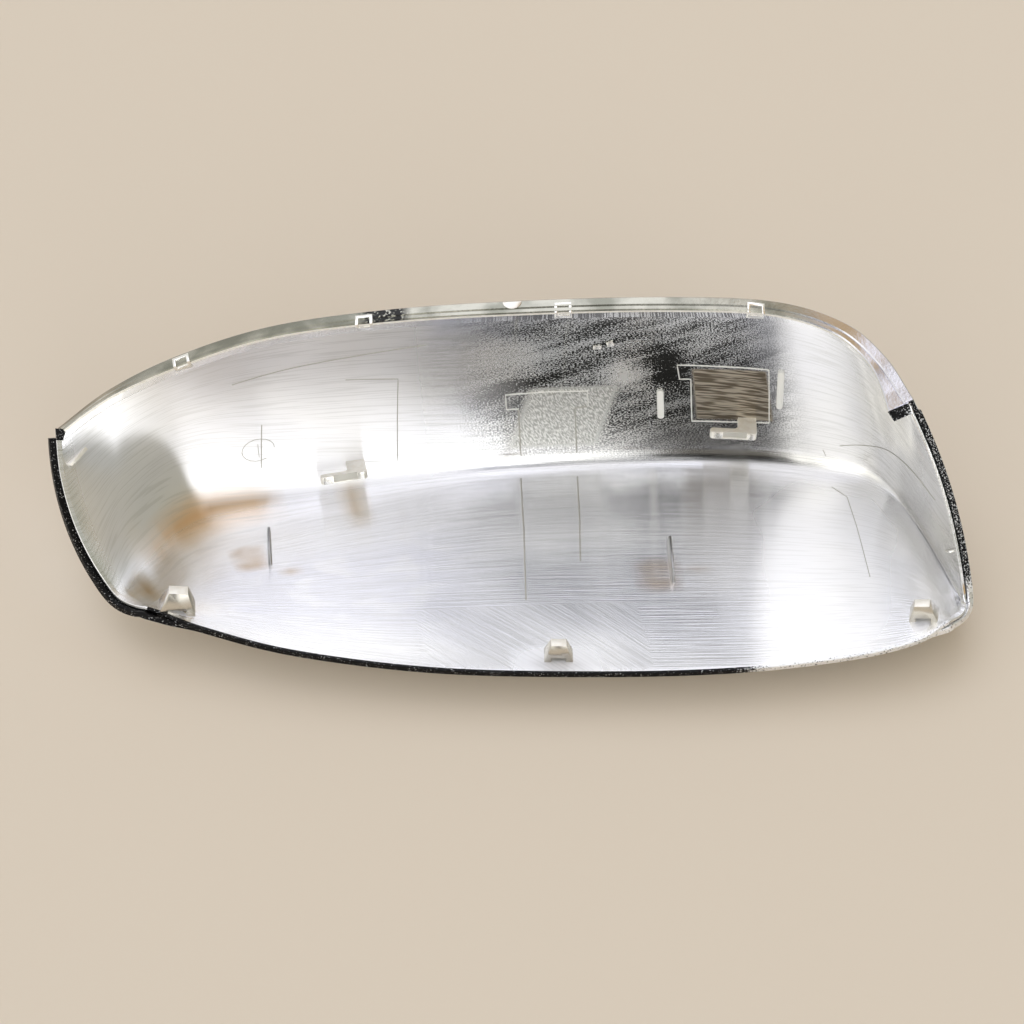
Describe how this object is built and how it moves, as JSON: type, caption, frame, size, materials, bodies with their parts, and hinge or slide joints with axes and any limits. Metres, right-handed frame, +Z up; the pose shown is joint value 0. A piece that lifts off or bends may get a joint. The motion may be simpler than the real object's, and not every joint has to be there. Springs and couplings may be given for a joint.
{
  "type": "car_wing_mirror_cover",
  "caption": "Chrome-plated half cover for a car's wing mirror, lying on its outer face with its hollow side up, moulded with lapped rim, snap tabs, hooks and ribs",
  "frame": {"origin": "bottom centre of the cover's box, on the surface that its outer face lies on, in the small flat of the belly", "axes": "+X along the cover's length, to the right when looked at from the low front rim; +Y from the front rim to the back wall; +Z up, out of the hollow"},
  "size_m": [0.2274, 0.0814, 0.0569],
  "materials": {
    "chrome_plating": "bright chrome plating on moulded plastic, mirror-like on the outer face, with the fine lines and grain of the mould on the inner face"
  },
  "bodies": {
    "root": {"cover_shell": "chrome_plating"}
  },
  "joints": []
}
